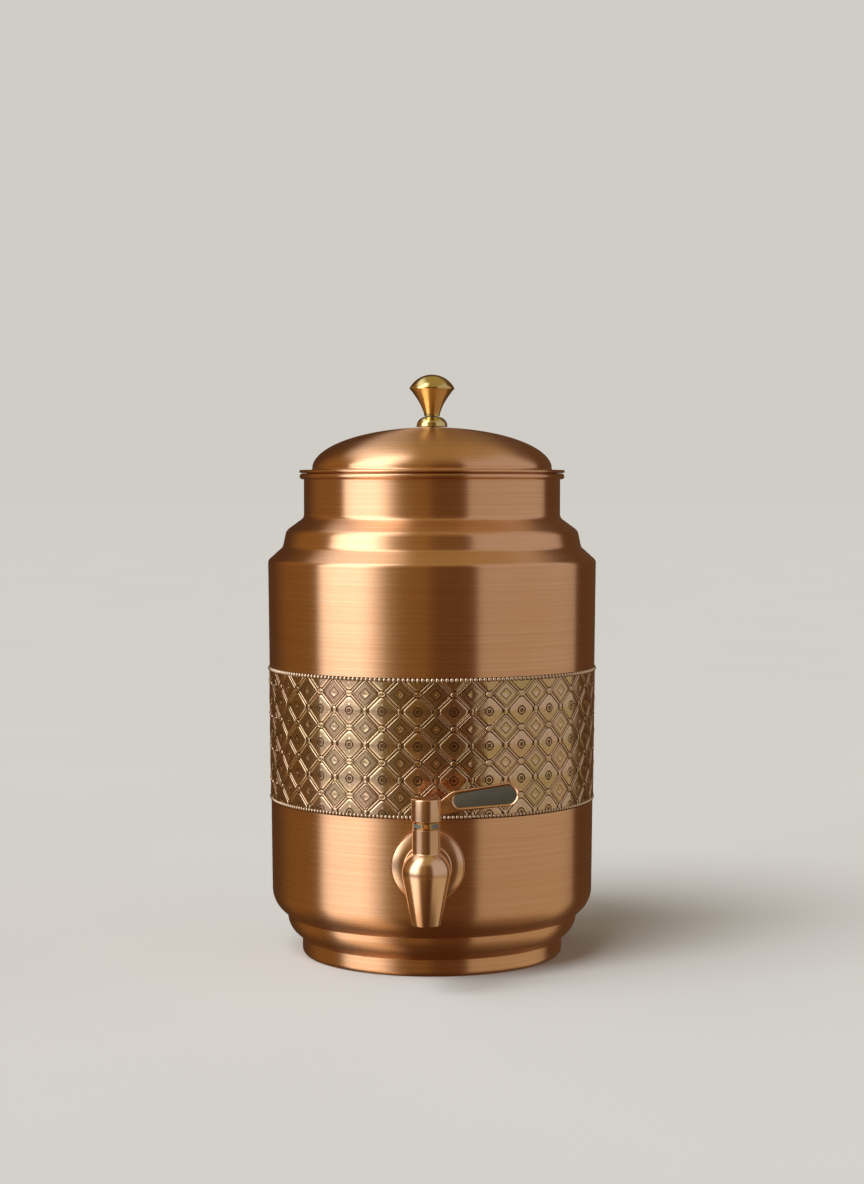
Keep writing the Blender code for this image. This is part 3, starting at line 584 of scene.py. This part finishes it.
def oval(name, width, height, sides=12, steps=((0.12, 0.34), (0.45, 0.12), (0.5, 0.05))):
    """A low oval button, raised by pairs of reach lost and rise in millimetres."""
    bpy.ops.object.select_all(action="DESELECT")
    bpy.ops.mesh.primitive_circle_add(vertices=sides, radius=1, fill_type="NGON", rotation=(pi / 2, 0, 0))
    bpy.ops.object.transform_apply(rotation=True)
    start_editing(name)
    bpy.ops.transform.resize(value=(width, 1, height))
    raise_steps(min(width, height) / MM, *steps)
    return close_motif()


def placed(piece, x=0.0, z=0.0, lift=0.0):
    piece.location = (x, -lift, z)
    return piece


def wrap(piece, radius):
    """Bends a flat motif about Z so that it lies on a cylinder, still centred on the origin."""
    reach = [vertex.co.x for vertex in piece.data.vertices]
    angle = (max(reach) - min(reach)) / radius
    return use_modifier(piece, "SIMPLE_DEFORM", deform_method="BEND", deform_axis="Z", angle=angle)


def around_band(motif, name, turn=0.0, rise=0.0, tilt=0.0):
    """Copies a motif to each tile, with a small random lean, and trims it to the band's edges."""
    draw = random.Random(name)
    copies = []
    for row in ROW_HEIGHTS:
        for column in range(COLUMNS):
            height = row + rise
            if not LOWER_WIRE_HEIGHT - TILE_HEIGHT / 2 < height < UPPER_WIRE_HEIGHT + TILE_HEIGHT / 2:
                continue
            angle = FIRST_COLUMN + turn + column * TURN / COLUMNS
            radius = wall_radius(height)
            made = copy_of(motif)
            made.location = (radius * sin(angle), -radius * cos(angle), height)
            lean = WALL_SLOPE + draw.uniform(-tilt, tilt)
            made.rotation_euler = (lean, 0, angle + draw.uniform(-tilt, tilt))
            copies.append(made)
    bpy.data.objects.remove(motif)
    whole = join(name, copies)
    for height, side in ((LOWER_WIRE_HEIGHT + 0.9 * MM, -1), (UPPER_WIRE_HEIGHT - 0.9 * MM, 1)):
        select_only(whole)
        start_editing()
        bpy.ops.mesh.bisect(plane_co=(0, 0, height), plane_no=(0, 0, side), clear_outer=True)
        stop_editing()
    return whole


def band_sleeve():
    low, high = LOWER_WIRE_HEIGHT + 0.4 * MM, UPPER_WIRE_HEIGHT - 0.4 * MM
    floor = RECESS_DEPTH - GAP
    outline = [(wall_radius(low) - floor, low), (wall_radius(low), low)]
    outline += [(wall_radius(high), high), (wall_radius(high) - floor, high)]
    return turned("embossed_sleeve", outline, ROUND)


def band_pieces():
    middle = wall_radius(MIDDLE_ROW)
    half, half_turn, half_rise = middle * pi / COLUMNS, pi / COLUMNS, TILE_HEIGHT / 2

    eye = oval("eye", 2.05 * MM, 2.05 * MM, 14, ((0.12, 0.46), (0.7, 0.03), (0.1, -0.46)))
    pillow = [cushion(), eye, placed(stud("pupil", 0.55 * MM, 0.5 * MM, 8), lift=0.2 * MM)]
    cushions = around_band(wrap(join("pillow", pillow), middle), "band_cushions", tilt=0.012)

    strip = half_strip("strip", half, half_rise, 0.42 * MM)
    trellis = around_band(wrap(strip, middle), "band_trellis")

    square = [half_strip("square", half, half_rise, 0.86 * MM), flower_plate()]
    square += [placed(stud("heart", 0.5 * MM, 0.4 * MM, 8), lift=0.3 * MM)]
    for x, z in ((1, 0), (-1, 0), (0, 1), (0, -1)):
        square.append(placed(stud("tip", 0.35 * MM, 0.3 * MM), x=x * 6.2 * MM, z=z * 5.9 * MM, lift=0.3 * MM))
    flowers = around_band(wrap(join("square", square), middle), "band_flowers", half_turn, half_rise, 0.006)

    buttons = around_band(oval("side_button", 1.35 * MM, 2.3 * MM), "band_side_buttons", half_turn)
    knot = [oval("knot", 2.5 * MM, 1.7 * MM, 16)]
    knot += [placed(ring("knot_ring", 1.1 * MM, 0.2 * MM, 1.5), lift=0.5 * MM)]
    knot += [placed(stud("knot_stud", 0.36 * MM, 0.3 * MM), lift=0.5 * MM)]
    knots = around_band(wrap(join("knot", knot), middle), "band_knots", rise=half_rise)
    return cushions, trellis, flowers, buttons, knots


def band_outlines():
    """The dark lines round the buttons and the knots: thin dark plates a little wider than they are, painted
    groove shade together with patina.
    """
    middle = wall_radius(MIDDLE_ROW)
    plate = ((0.02, 0.30),)
    buttons = around_band(oval("button_line", 1.75 * MM, 2.7 * MM, 12, plate), "button_lines", pi / COLUMNS)
    knots = wrap(oval("knot_line", 2.9 * MM, 2.1 * MM, 16, plate), middle)
    return buttons, around_band(knots, "knot_lines", rise=TILE_HEIGHT / 2)


def beaded_wire(name, height, count):
    """A wire of pearls that touch each other."""
    radius = wall_radius(height) - 0.38 * MM
    size = TURN * radius / count / 2
    bpy.ops.object.select_all(action="DESELECT")
    front = (0, -radius, height)
    bpy.ops.mesh.primitive_uv_sphere_add(segments=12, ring_count=7, radius=size * 1.02, location=front)
    bpy.ops.object.transform_apply(location=True)
    made = start_editing(name)
    bpy.ops.mesh.spin(
        steps=count - 1, dupli=True, angle=TURN * (count - 1) / count, center=(0, 0, 0), axis=(0, 0, 1)
    )
    stop_editing()
    core = turned("core", arc(radius - 0.2 * MM, height, 0.75 * MM, 0, 360, 8)[:-1], ROUND)
    return join(name, [made, core])


# Lid.

DOME_RADIUS, DOME_RISE, DOME_FOOT, DOME_END = 73.2 * MM, 25.3 * MM, 296.2 * MM, 86
FLANGE_RADIUS, FLANGE_TOP, FLANGE_FILLET = 81.0 * MM, 295.5 * MM, 1.2 * MM
HEM_WIDTH, HEM_THICKNESS = 2.4 * MM, 1.8 * MM
SCREW_HOLE = 2.35 * MM


def lid_dome():
    """Domed sheet whose flange is folded under into a hem."""
    start = degrees(SCREW_HOLE / DOME_RADIUS)
    steps = 30
    angles = [radians(start + (DOME_END - start) * step / steps) for step in range(steps + 1)]
    dome = [(DOME_RADIUS * sin(a), DOME_FOOT + DOME_RISE * cos(a)) for a in angles]
    walk = Path(*dome[-1], DOWN).to_height(FLANGE_TOP + FLANGE_FILLET).turn_to(FLANGE_FILLET, OUTWARD, 5)
    sheet = dome + walk.points[1:] + [(FLANGE_RADIUS - HEM_WIDTH, FLANGE_TOP)]
    fold = HEM_THICKNESS / 2
    edge = arc(FLANGE_RADIUS - fold, FLANGE_TOP - fold, fold, 90, -90, 10)
    hem = edge + [(FLANGE_RADIUS - HEM_WIDTH, FLANGE_TOP - HEM_THICKNESS)]
    return turned("lid_dome", sheet + hem + offset(sheet, SHEET)[::-1], ROUND)


def lid_skirt():
    top = FLANGE_TOP - SHEET - GAP
    walk = Path(76.4 * MM, top, DOWN).to_height(283.5 * MM).bend(1.5 * MM, -70, 6)
    return turned("lid_skirt", sheet_outline(walk.points), ROUND)


def knob_rosette():
    """Domed foot ring under the knob, with a thin lip where it sits on the lid."""
    foot, top = DOME_FOOT + DOME_RISE + GAP, 327.8 * MM
    lip = foot + MM
    outline = [(SCREW_HOLE, foot), (9.2 * MM, foot), (9.5 * MM, foot + 0.3 * MM), (9.5 * MM, foot + 0.7 * MM)]
    for step in range(12):
        angle = radians(7.5 * step)
        outline.append((4.6 * MM + 4.7 * MM * cos(angle) ** 1.3, lip + (top - lip) * sin(angle)))
    outline += [(4.6 * MM, top), (SCREW_HOLE, top)]
    return turned("knob_rosette_turned", outline)


def knob():
    """Flared stem under a lens-shaped head."""
    foot, lip = 328.1 * MM, 343.9 * MM
    widest, head_radius, top = 345.4 * MM, 13.7 * MM, 353.6 * MM
    stem = [(4.3 * MM, foot), (4.75 * MM, foot + 0.35 * MM), (4.75 * MM, foot + 0.8 * MM)]
    for step in range(2, 17):
        share = step / 16
        cone = 4.3 * MM + share * (12.7 * MM - 4.3 * MM)
        stem.append((cone - 1.1 * MM * sin(pi * share), foot + share * (lip - foot)))
    rise = top - widest
    cap = (head_radius**2 + rise**2) / (2 * rise)
    head = arc(0, top - cap, cap, degrees(acos(head_radius / cap)), 90, 20)
    rim = [(13.35 * MM, widest - 0.9 * MM), (13.68 * MM, widest - 0.35 * MM)]
    head[-1] = (0, top)
    socket = [(0, 338.6 * MM), (SCREW_HOLE, 338.6 * MM), (SCREW_HOLE, foot)]
    return turned("knob_turned", socket + stem + rim + head, 96, closed=False)


# Tap.


def flange_plate():
    """Round plate, thin at its edge, that rises as a shallow cone to the tap's boss."""
    back, edge, front = 100.3 * MM, 101.6 * MM, 103.3 * MM
    outline = [(8.3 * MM, back), (21.0 * MM, back), (21.2 * MM, back + 0.2 * MM)]
    outline += [(21.2 * MM, edge - 0.3 * MM), (21.0 * MM, edge - 0.05 * MM), (20.75 * MM, edge)]
    outline += [(20.4 * MM, edge - 0.1 * MM), (20.2 * MM, edge + 0.02 * MM), (17.5 * MM, edge + 0.95 * MM)]
    outline += [(14.9 * MM, front), (8.3 * MM, front)]
    return stand_up(turned("flange_plate", outline, 128))


def tap_casting():
    """Ball, cone and neck joined to the barrel and its boss, bored along both axes."""
    ball, ball_height, outlet, outlet_height = 13.58 * MM, 70.1 * MM, 8.1 * MM, 40.6 * MM
    drop = ball_height - outlet_height
    touch = degrees(atan2(-drop, outlet) + acos(ball / hypot(drop, outlet)))
    neck_radius, neck_top = 7.8 * MM, 94.8 * MM
    outer = [(0, outlet_height), (outlet - 0.9 * MM, outlet_height)]
    outer += arc(outlet - 0.6 * MM, outlet_height + 0.6 * MM, 0.6 * MM, -90, touch - 5, 5)
    outer += arc(0, ball_height, ball, touch, 50, 26)
    foot = Path(*outer[-1], 142)
    foot.to_radius(neck_radius + 0.3 * MM).turn_to(0.8 * MM, 90, 6)
    shoulder = [(max(radius, neck_radius), height) for radius, height in foot.points[1:]]
    outer += shoulder + [(neck_radius, shoulder[-1][1] + 0.4 * MM), (neck_radius, neck_top - 0.3 * MM)]
    outer += [(neck_radius - 0.3 * MM, neck_top), (0, neck_top)]
    body = shift(turned("tap_casting", outer, 96, closed=False), (0, -TAP_REACH, 0))

    back, front = 103.6 * MM, 106.6 * MM
    barrel = [(0, back), (13.9 * MM, back)]
    barrel += arc(13.1 * MM, front - 0.8 * MM, 0.8 * MM, 0, 90, 5)
    barrel += [(11.8 * MM, front), (10.7 * MM, front + 0.5 * MM), (10.3 * MM, front + 1.6 * MM)]
    barrel += [(10.3 * MM, TAP_REACH), (0, TAP_REACH)]
    combine(body, stand_up(turned("barrel", barrel, 96, closed=False)), "UNION")

    chamber = [(0, 35 * MM), (5.4 * MM, 35 * MM), (5.4 * MM, 57.7 * MM), (6.1 * MM, 57.7 * MM)]
    chamber += [(6.1 * MM, 100 * MM), (0, 100 * MM)]
    combine(body, shift(turned("chamber", chamber, closed=False), (0, -TAP_REACH, 0)))
    inlet = [(0, 98 * MM), (8.2 * MM, 98 * MM), (8.2 * MM, 112 * MM), (5.2 * MM, 112 * MM)]
    inlet += [(5.2 * MM, TAP_REACH), (0, TAP_REACH)]
    return combine(body, stand_up(turned("inlet", inlet, closed=False)))


def valve_collar():
    """The ring over the valve, with two fine edges and a floor between them for the plates."""
    seat, top, bore = 95.1 * MM, 98.9 * MM, 3.9 * MM
    outline = [(bore, 90 * MM), (5.8 * MM, 90 * MM), (5.8 * MM, seat), (7.55 * MM, seat)]
    outline += [(7.8 * MM, seat + 0.2 * MM), (7.8 * MM, seat + 0.55 * MM), (7.45 * MM, seat + 0.75 * MM)]
    outline += [(7.45 * MM, top - 0.75 * MM), (7.8 * MM, top - 0.55 * MM), (7.8 * MM, top - 0.2 * MM)]
    outline += [(7.55 * MM, top), (bore, top)]
    return shift(turned("valve_ring", outline), (0, -TAP_REACH, 0))


def collar_plates():
    """Four curved enamel plates with round ends."""
    plates = []
    for number in range(4):
        bpy.ops.object.select_all(action="DESELECT")
        bpy.ops.mesh.primitive_cube_add(size=1, location=(0, 0, 0), scale=(5.4 * MM, 0.5 * MM, 2.1 * MM))
        bpy.ops.object.transform_apply(location=True, scale=True)
        made = start_editing(f"plate_{number}")
        bpy.ops.mesh.subdivide(number_cuts=5)
        stop_editing()
        soften(made, 0.25 * MM, 2)
        wrap(made, 7.65 * MM)
        angle = radians(-45 + 90 * number)
        made.location = (7.5 * MM * sin(angle), -TAP_REACH - 7.5 * MM * cos(angle), 97.0 * MM)
        made.rotation_euler = (0, 0, angle)
        plates.append(made)
    return join("enamel_plates", plates)


def collar_flowers():
    """A small orange flower between each pair of plates."""
    flowers = []
    for number in range(4):
        parts = [placed(stud("bud", 0.5 * MM, 0.5 * MM, 10), lift=0.1 * MM)]
        for petal in range(6):
            angle = TURN * petal / 6
            x, z = 0.85 * MM * cos(angle), 0.85 * MM * sin(angle)
            parts.append(placed(stud("leaf", 0.42 * MM, 0.35 * MM, 8), x, z))
        made = join(f"flower_{number}", parts)
        angle = radians(90 * number)
        made.location = (7.5 * MM * sin(angle), -TAP_REACH - 7.5 * MM * cos(angle), 97.0 * MM)
        made.rotation_euler = (0, 0, angle)
        flowers.append(made)
    return join("enamel_flowers", flowers)


def slab(name, points, near, far):
    """A flat piece whose outline lies in the XZ plane, between two distances along Y."""
    draw_line(points + points[:1])
    bpy.context.object.name = name
    bpy.ops.mesh.select_all(action="SELECT")
    bpy.ops.mesh.remove_doubles(threshold=MM / 1000)
    bpy.ops.mesh.edge_face_add()
    bpy.ops.transform.translate(value=(0, near, 0))
    bpy.ops.mesh.extrude_region_move(TRANSFORM_OT_translate={"value": (0, far - near, 0)})
    bpy.ops.mesh.select_all(action="SELECT")
    bpy.ops.mesh.normals_make_consistent(inside=False)
    return stop_editing()


def slot_outline(start, start_round, end, end_round, grown=0.0):
    """A slot whose two round ends may differ, grown on all sides."""
    along = degrees(atan2(end[1] - start[1], end[0] - start[0]))
    touch = degrees(acos((start_round - end_round) / hypot(end[0] - start[0], end[1] - start[1])))
    outer = arc(*end, end_round + grown, along - touch, along + touch, 20)
    return outer + arc(*start, start_round + grown, along + touch, along + 360 - touch, 20)


INLAY_SLOT = ((19.2 * MM, 111.0 * MM), 4.0 * MM, (45.2 * MM, 114.4 * MM), 5.2 * MM)


def lever():
    """Round hub and rising paddle, with a recess whose walls slope down to the inlay."""
    foot, top, radius = 99.2 * MM, 111.9 * MM, 8.5 * MM
    profile = [(0, foot), (radius - 0.35 * MM, foot), (radius, foot + 0.35 * MM)]
    profile += arc(radius - 0.9 * MM, top - 0.9 * MM, 0.9 * MM, 0, 90, 6) + [(0, top)]
    hub = turned("lever_casting", profile, 96, closed=False)

    walk = Path(0, 103.1 * MM, OUTWARD).ahead(11.0 * MM).turn_to(8.0 * MM, 14)
    walk.ahead(6.8 * MM).turn_to(8.0 * MM, 6.2).ahead(25.8 * MM)
    walk.bend(6.45 * MM, 182.5, 28).ahead(28.3 * MM).bend(8.0 * MM, 30).to_radius(0)
    arm = slab("arm", walk.points, -2.3 * MM, 2.3 * MM)
    soften(arm, 0.55 * MM, 3)

    combine(arm, recess_cutter())
    combine(hub, arm, "UNION")
    combine(hub, spindle_socket())
    combine(hub, grub_screw_hole())
    return shift(hub, (0, -TAP_REACH, 0))


def recess_cutter():
    """Cuts the recess round the inlay. Its far face is drawn in, so that the recess's walls slope."""
    cutter = slab("recess", slot_outline(*INLAY_SLOT, 0.85 * MM), -3.3 * MM, -2.28 * MM)
    select_only(cutter)
    for vertex in cutter.data.vertices:
        vertex.select = vertex.co.y > -3.0 * MM
    for edge in cutter.data.edges:
        edge.select = all(cutter.data.vertices[end].select for end in edge.vertices)
    for face in cutter.data.polygons:
        face.select = face.normal.y > 0.9
    bpy.ops.object.mode_set(mode="EDIT")
    bpy.ops.mesh.inset(thickness=0.8 * MM, depth=0.62 * MM)
    return stop_editing()


def spindle_socket():
    side, depth = 5.6 * MM, 10.6 * MM
    bpy.ops.object.select_all(action="DESELECT")
    bpy.ops.mesh.primitive_cube_add(size=1, location=(0, 0, 103.0 * MM), scale=(side, side, depth))
    bpy.ops.object.transform_apply(location=True, scale=True)
    return bpy.context.object


def grub_screw_hole():
    place, upright = (0, 7 * MM, 104.2 * MM), (pi / 2, 0, 0)
    bpy.ops.object.select_all(action="DESELECT")
    bpy.ops.mesh.primitive_cylinder_add(
        vertices=32, radius=1.8 * MM, depth=10 * MM, location=place, rotation=upright
    )
    bpy.ops.object.transform_apply(location=True, rotation=True)
    return bpy.context.object


def inlay():
    """Thin plate in the paddle's recess, very slightly crowned."""
    made = slab("grey_inlay_plate", slot_outline(*INLAY_SLOT, -0.12 * MM), -1.85 * MM, -1.7 * MM)
    soften(made, 0.06 * MM, 2)
    return shift(made, (0, -TAP_REACH, 0))


# Assembly.


def make_object():
    wall = brushed_copper("brushed_copper_upper", -1)
    foot = brushed_copper("brushed_copper_lower", 1)
    band = embossed_metal("struck_brass")
    # Dark plates round the band's buttons and knots: painted groove shade together with patina.
    patina_and_painted_shade = plain("dark_patina_and_painted_shade", colour(0.17, 0.10, 0.055), 1.0, 0.42, 900, 0.02 * MM)
    pearls = pearl_metal("pearl_wire_metal")
    brass = polished_brass("polished_brass")
    rose = satin_tap("rose_gold_satin")
    gold = plain("collar_gold", colour(0.80, 0.56, 0.27), 1.0, 0.24, 800, 0.01 * MM)
    glaze = {"variation": 0.5, "Coat_Weight": 0.5}
    enamel = plain("blue_grey_enamel", colour(0.15, 0.16, 0.145), 0.0, 0.3, 900, 0.01 * MM, **glaze)
    orange = plain("orange_enamel", colour(0.62, 0.20, 0.04), 0.0, 0.25, 900, 0.01 * MM, 0.3)
    grey = plain("grey_green_plate", colour(0.17, 0.17, 0.14), 0.7, 0.38, 260, 0.008 * MM, 0.2)
    machined = plain("machined_brass", colour(0.72, 0.55, 0.27), 1.0, 0.3, 500, 0.02 * MM)
    steel = plain("machined_steel", colour(0.58, 0.57, 0.55), 1.0, 0.28, 500, 0.02 * MM)
    rubber = plain("silicone_rubber", colour(0.50, 0.48, 0.44), 0.0, 0.6, 300, 0.03 * MM)

    finish(upper_vessel(), wall, "vessel", "copper", "upper_shell")
    finish(lower_vessel(), foot, "vessel", "copper", "lower_shell")
    finish(band_sleeve(), band, "vessel", "band_metal", "embossed_band")
    for piece in band_pieces():
        finish(piece, band, "vessel", "band_metal", smooth=radians(25))
    for piece in band_outlines():
        finish(piece, patina_and_painted_shade, "vessel", "band_metal")
    lower_pearls = beaded_wire("lower_pearls", LOWER_WIRE_HEIGHT, LOWER_BEADS)
    finish(lower_pearls, pearls, "vessel", "wire_metal", "lower_bead_wire")
    upper_pearls = beaded_wire("upper_pearls", UPPER_WIRE_HEIGHT, UPPER_BEADS)
    finish(upper_pearls, pearls, "vessel", "wire_metal", "upper_bead_wire")

    finish(lid_dome(), wall, "lid", "copper", "lid_shell")
    finish(lid_skirt(), wall, "lid", "copper", "lid_collar")
    finish(knob_rosette(), brass, "lid", "knob_brass", "knob_rosette")
    finish(knob(), brass, "lid", "knob_brass", "lid_knob")

    finish(flange_plate(), rose, "vessel", "tap_metal", "tap_flange_plate")
    finish(tap_casting(), rose, "vessel", "tap_metal", "tap_body")
    finish(valve_collar(), gold, "vessel", "tap_metal", "valve_collar")
    plates = [f"enamel_plate_{number}" for number in range(1, 5)]
    finish(collar_plates(), enamel, "vessel", "enamel", *plates)
    finish(collar_flowers(), orange, "vessel", "enamel")
    finish(lever(), rose, "lever", "tap_metal", "tap_lever")
    finish(inlay(), grey, "lever", "grey_inlay", "lever_inlay")

    kept = {
        rose: ["inlet_shank"],
        machined: ["nut_washer", "back_nut", "valve_spindle", "valve_plug"],
        steel: ["knob_washer", "knob_screw", "lever_grub_screw"],
        rubber: ["outer_gasket", "inner_gasket", "inlet_seat", "lower_o_ring", "upper_o_ring"],
    }
    for material, nodes in kept.items():
        for node in nodes:
            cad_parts[node].data.materials.clear()
            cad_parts[node].data.materials.append(material)


# Studio.


def make_camera():
    distance, height, side, pitch = 1.4, 0.2874, radians(1.4), radians(2.72)
    lens = bpy.data.cameras.new("camera")
    lens.sensor_fit = "VERTICAL"
    lens.sensor_height = 24
    lens.lens = 46.38
    lens.clip_start = 0.05
    camera = bpy.data.objects.new("camera", lens)
    bpy.context.scene.collection.objects.link(camera)
    camera.location = (distance * sin(side), -distance * cos(side), height)
    camera.rotation_euler = (pi / 2 - pitch, 0, side)
    bpy.context.scene.camera = camera


def make_floor():
    bpy.ops.object.select_all(action="DESELECT")
    bpy.ops.mesh.primitive_plane_add(size=60, location=(0, 0, 0))
    floor = bpy.context.object
    floor.name = "floor"
    paint = Metal("pale_floor")
    cloud = paint.noise(3, 3.0)
    tint = paint.mix(cloud, colour(0.55, 0.57, 0.60), colour(0.58, 0.60, 0.63))
    floor.data.materials.append(paint.shade(Base_Color=tint, Roughness=0.9))
    floor.visible_glossy = False


def make_world():
    """Soft panels to the left and the right, a warm ceiling, and a dim room between them.

    Around is the angle from the front towards +X and up is the angle above the level, both in degrees.
    """
    world = bpy.data.worlds.new("studio")
    bpy.context.scene.world = world
    room = Tree(world)
    direction = room.node("ShaderNodeTexCoord", output=0)
    x, y, z = room.node("ShaderNodeSeparateXYZ", {}, {0: direction}).axes()
    around = x.math("ARCTAN2", 0 - y) * degrees(1)
    up = z.math("ARCSINE") * degrees(1)

    ahead = around.math("ABSOLUTE")
    light = room.mix(around.smooth_step(-4, 4), colour(0.26, 0.155, 0.05), colour(0.135, 0.068, 0.028))
    light = room.mix(around.inside(-40, -22, 3), light, colour(0.31, 0.22, 0.10))
    light = room.mix(ahead.smooth_step(92, 104), light, colour(0.27, 0.15, 0.045))
    light = room.mix(ahead.smooth_step(118, 150), light, colour(0.08, 0.04, 0.02))
    light = room.mix(around.smooth_step(118, 126), light, colour(0.11, 0.06, 0.03))
    level = up.inside(-13, -1, 3)
    light = room.mix(level * 0.75, light, colour(0.09, 0.045, 0.02))
    light = room.mix(up.smooth_step(-12, -50), light, colour(0.07, 0.03, 0.012))
    light = room.mix(up.smooth_step(36, 52), light, colour(0.37, 0.28, 0.125))
    right = around.inside(33.5, 121, 0.8) * up.inside(-60, 56, 5)
    right_light = room.mix(up.smooth_step(-14, 2), colour(0.36, 0.29, 0.14), colour(0.50, 0.45, 0.43))
    right_light = room.mix(up.smooth_step(-18, -45), right_light, colour(0.13, 0.07, 0.03))
    right_light = room.mix(up.inside(-35, -18, 4), right_light, colour(0.52, 0.42, 0.27))
    light = room.mix(right, light, right_light)
    glow = (0 - x - z * 0.3).smooth_step(-0.06, 0.22) * up.smooth_step(36, 52)
    light = room.mix(glow, light, colour(1.15, 1.1, 1.08))
    left = around.smooth_step(-87, -81) * (1 - around.smooth_step(-52, -26)) * up.inside(-70, 72, 10)
    left_light = room.mix(up.smooth_step(-6, 10), colour(1.08, 1.04, 1.02), colour(2.6, 2.6, 2.5))
    left_light = room.mix(level, left_light, colour(0.50, 0.44, 0.40))
    left_light = room.mix(up.smooth_step(-12, -40), left_light, colour(0.78, 0.50, 0.26))
    left_light = room.mix(up.inside(-35, -18, 4), left_light, colour(1.7, 1.5, 1.3))
    light = room.mix(left, light, left_light)
    shown = room.node("ShaderNodeBackground", {}, {"Color": colour(0.63, 0.605, 0.565), "Strength": 1.0})
    lit = room.node("ShaderNodeBackground", {}, {"Color": light, "Strength": 1.0})
    seen = room.node("ShaderNodeLightPath", output=0)
    both = room.node("ShaderNodeMixShader", {}, {0: seen, 1: lit, 2: shown})
    room.node("ShaderNodeOutputWorld", {}, {0: both})


def make_lights():
    """One wide sun for the floor and its soft shadow. It leaves no highlight on the metal."""
    sun = bpy.data.lights.new("key", "SUN")
    sun.energy = 2.2
    sun.angle = radians(35)
    sun.color = (1.0, 0.97, 0.92)
    key = bpy.data.objects.new("key", sun)
    bpy.context.scene.collection.objects.link(key)
    key.rotation_euler = (radians(38), 0, radians(-35))
    key.visible_glossy = False


make_camera()
make_floor()
make_world()
make_lights()
make_object()
bpy.context.scene.view_settings.view_transform = "Standard"
